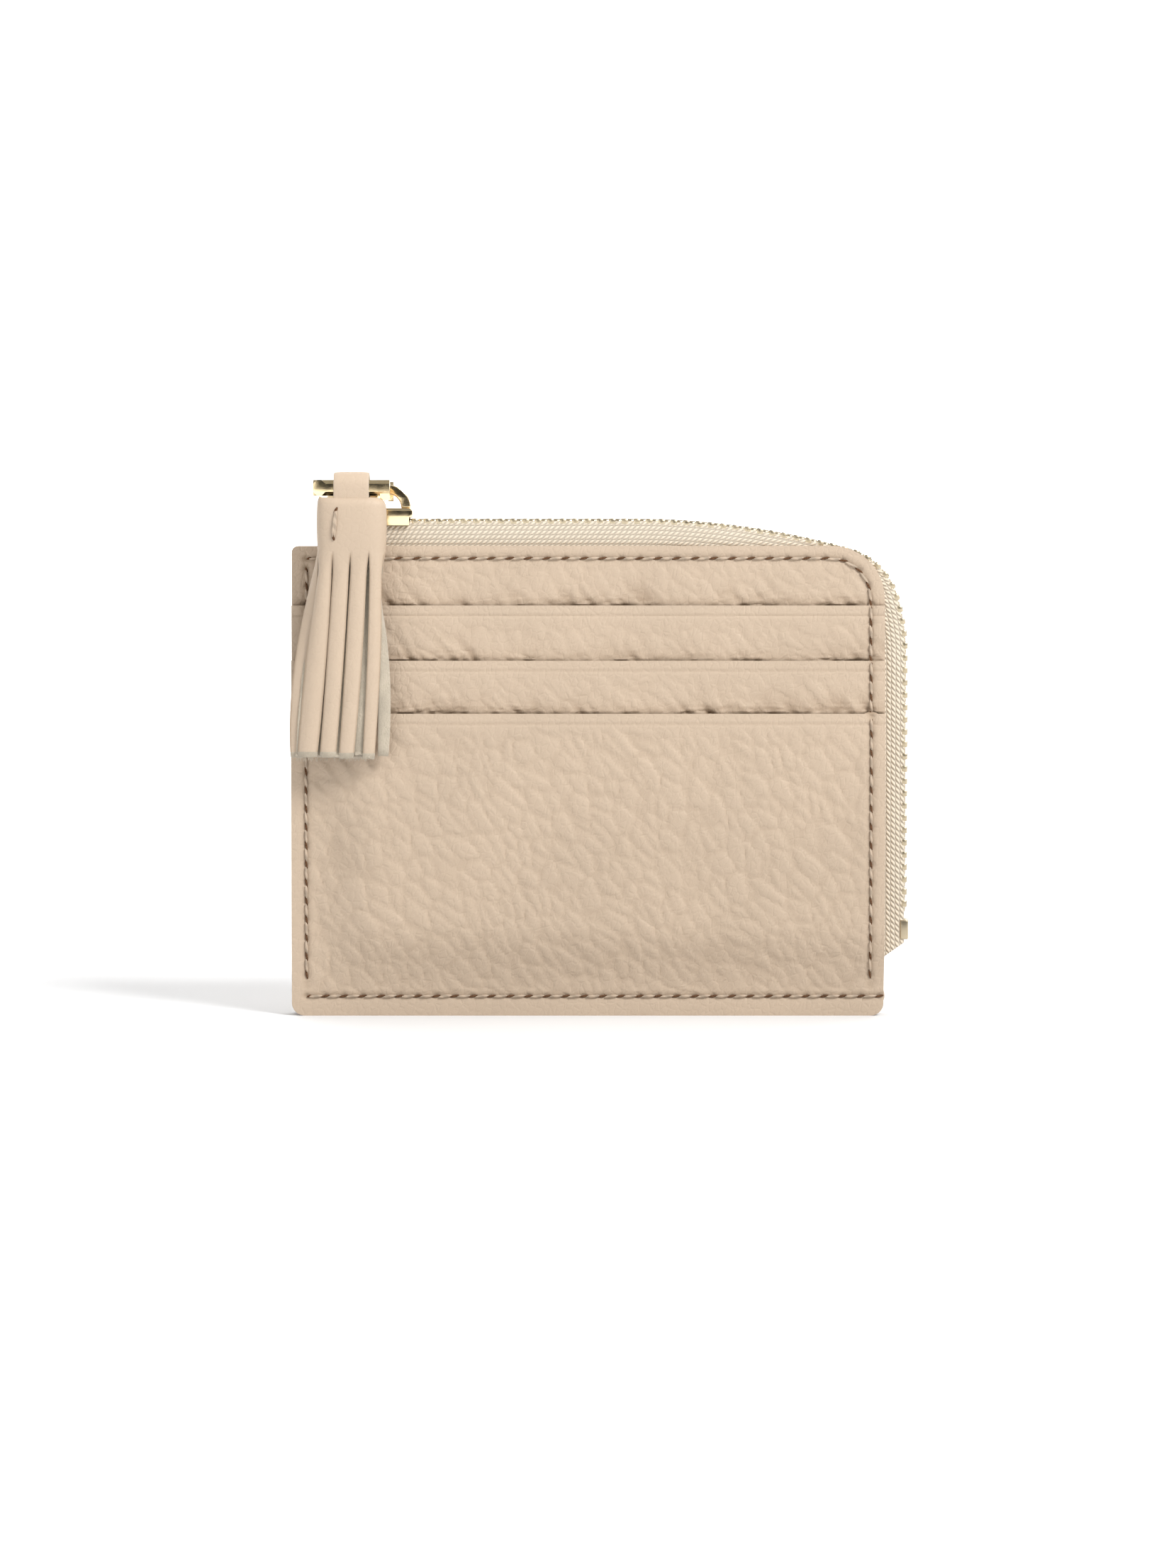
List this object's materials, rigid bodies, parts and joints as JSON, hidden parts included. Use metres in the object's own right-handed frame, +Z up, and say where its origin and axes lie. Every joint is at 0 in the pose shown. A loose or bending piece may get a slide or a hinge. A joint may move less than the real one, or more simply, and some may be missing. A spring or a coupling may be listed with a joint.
{
  "type": "zippered pouch",
  "caption": "Flat zipped card pouch with stepped slip pockets in front, a zip round its top and right edges, and a hanging leather tassel pull.",
  "frame": {"origin": "centre of the flat base, on the surface the pouch stands on", "axes": "+X towards the zip's lower end side, +Y towards the plain back, +Z up"},
  "size_m": [0.1103, 0.0189, 0.0964],
  "materials": {
    "leather": "warm beige pebbled leather, satin",
    "tassel_leather": "warm beige smooth leather with a pale suede back",
    "lining": "matt woven lining",
    "zip_tape": "cream twill zip tape",
    "zip_metal": "pale gold plated",
    "gold_metal": "pale gold plated, polished",
    "thread": "waxed beige thread"
  },
  "bodies": {
    "pouch": {"front_base_panel": "leather", "upper_pocket": "leather", "middle_pocket": "leather", "lower_pocket": "leather", "back_panel": "leather", "front_lining": "lining", "back_lining": "lining", "zip_tape_front": "zip_tape", "zip_tape_back": "zip_tape", "zip_teeth_front": "zip_metal", "zip_teeth_back": "zip_metal", "zip_top_stops": "zip_metal", "zip_bottom_stop": "zip_metal", "zip_seam_thread_front": "thread", "zip_seam_thread_back": "thread", "side_seam_thread": "thread", "bottom_seam_thread": "thread"},
    "slider": {"slider_body": "gold_metal", "slider_crown": "gold_metal"},
    "ring": {"pull_ring": "gold_metal"},
    "tassel": {"tassel_strap": "tassel_leather", "tassel_cap": "tassel_leather", "tassel_fringe": "tassel_leather", "tassel_hand_stitch": "thread"}
  },
  "joints": [
    {"name": "slider_travel", "type": "slide", "parent": "pouch", "child": "slider", "axis": [1, 0, 0], "range_m": [0, 0.038]},
    {"name": "ring_hinge", "type": "hinge", "parent": "slider", "child": "ring", "pos_m": [-0.0362, 0.00168, 0.0924], "axis": [0, 1, 0], "range_deg": [0, 110]},
    {"name": "tassel_swing", "type": "hinge", "parent": "ring", "child": "tassel", "pos_m": [-0.04225, -0.00543, 0.094], "axis": [-1, 0, 0], "range_deg": [0, 120]}
  ]
}
